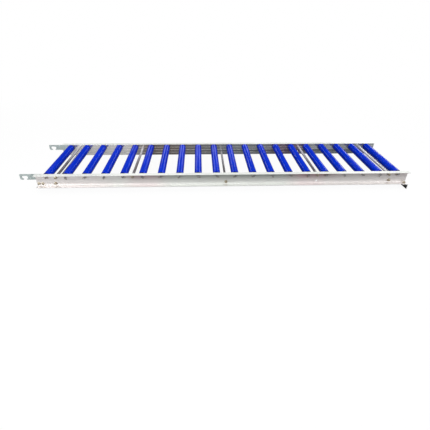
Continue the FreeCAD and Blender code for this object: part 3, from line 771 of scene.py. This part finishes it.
def washer():
    """Washer lying on Z 0."""
    hole, end_shade = WASHER_HOLE / 2, WASHER_DIAMETER / 2
    rings = [ring(hole, 0), ring(hole, WASHER_THICKNESS), ring(end_shade, WASHER_THICKNESS), ring(end_shade, 0)]
    return loft(rings, joined=True)


def rounded(path):
    """The path with its corners cut until it bends smoothly."""
    for _ in range(ROUNDING_PASSES):
        cut = [path[0]]
        for start, end in zip(path, path[1:]):
            cut += [start.lerp(end, CORNER_CUT), start.lerp(end, 1 - CORNER_CUT)]
        path = cut + [path[-1]]
    return path


def split_pin():
    """Half-round wire folded into an eye below, with its two tails spread above."""
    side = PIN_GAP / 2
    splay = math.radians(PIN_TAIL_SPLAY)
    tail = Vector((math.sin(splay), 0, math.cos(splay)))
    bend = Vector((side, 0, PIN_BEND))
    half = [bend + tail * PIN_TAIL_LENGTH, bend + tail * PIN_BEND_REACH]
    half += [bend - Vector((0, 0, PIN_BEND_REACH)), Vector((side, 0, -PIN_BEND))]
    inside = PIN_EYE_DIAMETER / 2 - PIN_WIRE
    for degrees in PIN_EYE_TURNS:
        turn = math.radians(degrees)
        half.append(Vector((inside * math.sin(turn), 0, inside * math.cos(turn) - PIN_EYE_DROP)))
    other = [Vector((-point.x, 0, point.z)) for point in reversed(half[:-1])]
    path = rounded(half + other)
    turns = [math.pi * (step / WIRE_STEPS - 0.5) for step in range(WIRE_STEPS + 1)]
    rings = []
    for index, point in enumerate(path):
        along = (path[min(index + 1, len(path) - 1)] - path[max(index - 1, 0)]).normalized()
        out = Vector((-along.z, 0, along.x))
        section = [out * math.cos(turn) + Vector((0, math.sin(turn), 0)) for turn in turns]
        rings.append([point + PIN_WIRE * offset for offset in section])
    return loft(rings)


def make_piece(name, placed, slot, node, rounding=0.0):
    """One piece of the frame from placed shapes, which stands for a CAD node."""
    mesh = bpy.data.meshes.new(name)
    body = bmesh.new()
    for (points, faces), place in placed:
        made = [body.verts.new(place @ point) for point in points]
        for face in faces:
            body.faces.new([made[index] for index in face])
    bmesh.ops.recalc_face_normals(body, faces=body.faces)
    body.to_mesh(mesh)
    body.free()
    mesh.shade_smooth()
    mesh.set_sharp_from_angle(angle=SHARP_ANGLE)
    mesh.materials.append(FINISHES[slot])
    piece = bpy.data.objects.new(name, mesh)
    bpy.context.scene.collection.objects.link(piece)
    if rounding:
        bevel = piece.modifiers.new("edge_rounding", "BEVEL")
        bevel.width = rounding
        bevel.segments = ROUNDING_SEGMENTS
        bevel.limit_method = "ANGLE"
        bevel.angle_limit = SHARP_ANGLE
        bevel.harden_normals = True
    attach(piece, "frame")
    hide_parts(node)


def outward(side, x, y, z, twist=0.0):
    """Place for a shape whose axis points away from the rail's web, turned about that axis."""
    facing = Matrix.Rotation(-side * math.pi / 2, 4, "X")
    return Matrix.Translation((x, side * y, z)) @ facing @ Matrix.Rotation(twist, 4, "Z")


def middle(node):
    """Middle of a CAD node's box."""
    low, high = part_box(node)
    return (low + high) / 2


def make_tie_fasteners():
    """A bolt and a washer at both ends of every tie."""
    ties = [f"upper_tie_{number:02d}" for number in range(1, UPPER_TIE_COUNT + 1)]
    ties += [f"lower_tie_{number:02d}" for number in range(1, LOWER_TIE_COUNT + 1)]
    bolt = hex_bolt(TIE_BOLT_ENGAGEMENT + RAIL_WALL + WASHER_THICKNESS)
    flat_washer = washer()
    bolts, washers = [], []
    for tie in ties:
        at = middle(tie)
        for side in SIDES:
            twist = TIE_BOLT_TWIST_STEP * len(bolts)
            bolts.append((bolt, outward(side, at.x, WEB_FACE + WASHER_THICKNESS, at.z, twist)))
            washers.append((flat_washer, outward(side, at.x, WEB_FACE, at.z)))
    make_piece("tie_bolt_set", bolts, "yellow_zinc", "tie_bolts", EDGE_ROUNDING)
    make_piece("tie_washer_set", washers, "yellow_zinc", "tie_washers", EDGE_ROUNDING)


def make_plate_fasteners():
    """Bolts and nuts of the hook plates, along the lower tie line, and of the end angle."""
    bolt = hex_bolt(RAIL_WALL + PLATE_WALL + NUT_HEIGHT + BOLT_END_LENGTH)
    nut = hex_nut()
    low_line = middle("lower_tie_01").z
    hook_bolts, angle_bolts, nuts = [], [], []
    for side in SIDES:
        for number, inset in enumerate(HOOK_BOLT_PLACES):
            x = rail_low.x + inset
            twist = HOOK_BOLT_TWIST + HOOK_BOLT_TWIST_STEP * number - HOOK_BOLT_SIDE_TWIST * side
            hook_bolts.append((bolt, outward(side, x, WEB_FACE, low_line, twist)))
            nuts.append((nut, outward(side, x, rail_low.y - PLATE_WALL, low_line, 2 * twist) @ FLIP))
        x, y = rail_high.x - ANGLE_BOLT_INSET, side * (WEB_FACE + rail_high.y) / 2
        head_seat = Matrix.Translation((x, y, rail_low.z - ANGLE_WALL))
        angle_bolts.append((bolt, head_seat @ FLIP))
        nut_seat = Matrix.Translation((x, y, rail_low.z + RAIL_WALL))
        nuts.append((nut, nut_seat @ Matrix.Rotation(ANGLE_NUT_TWIST * side, 4, "Z")))
    make_piece("hook_bolt_set", hook_bolts, "yellow_zinc", "hook_bolts", EDGE_ROUNDING)
    make_piece("angle_bolt_set", angle_bolts, "yellow_zinc", "angle_bolts", EDGE_ROUNDING)
    make_piece("hex_nut_set", nuts, "yellow_zinc", "hex_nuts", EDGE_ROUNDING)


def make_split_pins():
    """A split pin through both ends of every axle, leaning as its axle stands."""
    pin = split_pin()
    pins = []
    for index in range(ROLLER_COUNT):
        at = middle(f"roller_tube_{index + 1:02d}")
        swing = math.sin(math.radians(PIN_TURN_FIRST + index * PIN_TURN_STEP))
        lean = Matrix.Rotation(math.radians(PIN_SWING * swing), 4, "Y")
        for side in SIDES:
            seat = Matrix.Translation((at.x, side * (WEB_FACE + PIN_OFFSET), at.z))
            pins.append((pin, seat @ lean))
    make_piece("split_pin_set", pins, "pin_steel", "split_pins")


# Camera, floor and light


def make_camera():
    """The view of the section, from above and in front."""
    data = bpy.data.cameras.new("camera")
    data.sensor_width = SENSOR_WIDTH
    data.lens = SENSOR_WIDTH * FOCAL_PIXELS / PICTURE_WIDTH
    camera = bpy.data.objects.new("camera", data)
    bpy.context.scene.collection.objects.link(camera)
    heading = Matrix.Rotation(math.radians(-CAMERA_YAW), 4, "Z")
    tilt = Matrix.Rotation(math.radians(90 - CAMERA_PITCH), 4, "X")
    roll = Matrix.Rotation(math.radians(CAMERA_ROLL), 4, "Z")
    camera.matrix_world = Matrix.Translation(CAMERA_PLACE) @ heading @ tilt @ roll
    bpy.context.scene.camera = camera


def seen_share(tree, seen, mirrored):
    """Share of plain white for rays from the camera, and for those by way of metal or glass."""
    path = add(tree, "LightPath").outputs
    by_gloss = larger(tree, path["Is Glossy Ray"], path["Is Transmission Ray"])
    direct = times(tree, path["Is Camera Ray"], seen)
    return larger(tree, direct, times(tree, by_gloss, mirrored))


def make_floor():
    """Pale floor that reads as white and keeps the soft shadow, with painted light under the ends of the
    section that only mirroring metal sees.
    """
    mesh = bpy.data.meshes.new("floor")
    half = FLOOR_SIZE / 2
    corners = [(-half, -half, 0), (half, -half, 0), (half, half, 0), (-half, half, 0)]
    mesh.from_pydata(corners, [], [(0, 1, 2, 3)])
    floor = bpy.data.objects.new("floor", mesh)
    bpy.context.scene.collection.objects.link(floor)
    material, tree, place = new_finish("floor_pale")
    direct = add(tree, "LightPath").outputs["Is Camera Ray"]
    matt = add(tree, "BsdfDiffuse", {"Color": mix(tree, direct, FLOOR_PALE, WHITE)}).outputs[0]
    white = add(tree, "Emission", {"Color": WHITE, "Strength": 1.0}).outputs[0]
    from_middle = {0: stretch(tree, place, FLOOR_SHADOW_SHAPE)}
    distance = add(tree, "VectorMath", from_middle, operation="LENGTH").outputs["Value"]
    seen = spread(tree, distance, *FLOOR_SHADOW_REACH, FLOOR_WHITE_SEEN, 1.0)
    axis = axes(tree, place)
    # Painted light: a strip of white between the rails from the left end outwards, fainter from the right
    # end outwards, seen only in mirroring metal
    lit_end = spread(tree, axis["X"], *FLOOR_LIT_END, 1.0, 0.0)
    faint_end = spread(tree, axis["X"], *FLOOR_FAINT_END, 0.0, FLOOR_FAINT_SHARE)
    under = spread(tree, how_far(tree, axis["Y"]), *FLOOR_LIT_ACROSS, 1.0, 0.0)
    lit = times(tree, larger(tree, lit_end, faint_end), under)
    share = seen_share(tree, seen, between(tree, lit, FLOOR_WHITE_MIRRORED, FLOOR_LIT_MIRRORED))
    surface = add(tree, "MixShader", {0: share, 1: matt, 2: white}).outputs[0]
    add(tree, "OutputMaterial", {"Surface": surface})
    mesh.materials.append(material)


def make_world():
    """Soft grey studio light all round, white where the camera looks past the floor."""
    world = bpy.data.worlds.new("studio")
    world.use_nodes = True
    bpy.context.scene.world = world
    tree = world.node_tree
    tree.nodes.clear()
    soft = add(tree, "Background", {"Color": STUDIO_GREY, "Strength": STUDIO_STRENGTH}).outputs[0]
    white = add(tree, "Background", {"Color": WHITE, "Strength": 1.0}).outputs[0]
    share = seen_share(tree, 1.0, STUDIO_WHITE_MIRRORED)
    surface = add(tree, "MixShader", {0: share, 1: soft, 2: white}).outputs[0]
    add(tree, "OutputWorld", {"Surface": surface})


def softbox(name, place, width, depth, glow):
    """Area lamp aimed at the middle of the section, with the given glow of its face."""
    lamp = bpy.data.lights.new(name, "AREA")
    lamp.shape = "RECTANGLE"
    lamp.size = width
    lamp.size_y = depth
    lamp.energy = glow * math.pi * width * depth
    holder = bpy.data.objects.new(name, lamp)
    bpy.context.scene.collection.objects.link(holder)
    holder.location = place
    aim = LAMP_AIM - holder.location
    holder.rotation_euler = aim.to_track_quat("-Z", "Y").to_euler()


finish_frame()
make_tie_fasteners()
make_plate_fasteners()
make_split_pins()
make_camera()
make_floor()
make_world()
for lamp_values in LAMPS:
    softbox(*lamp_values)
bpy.context.scene.view_settings.view_transform = "Standard"
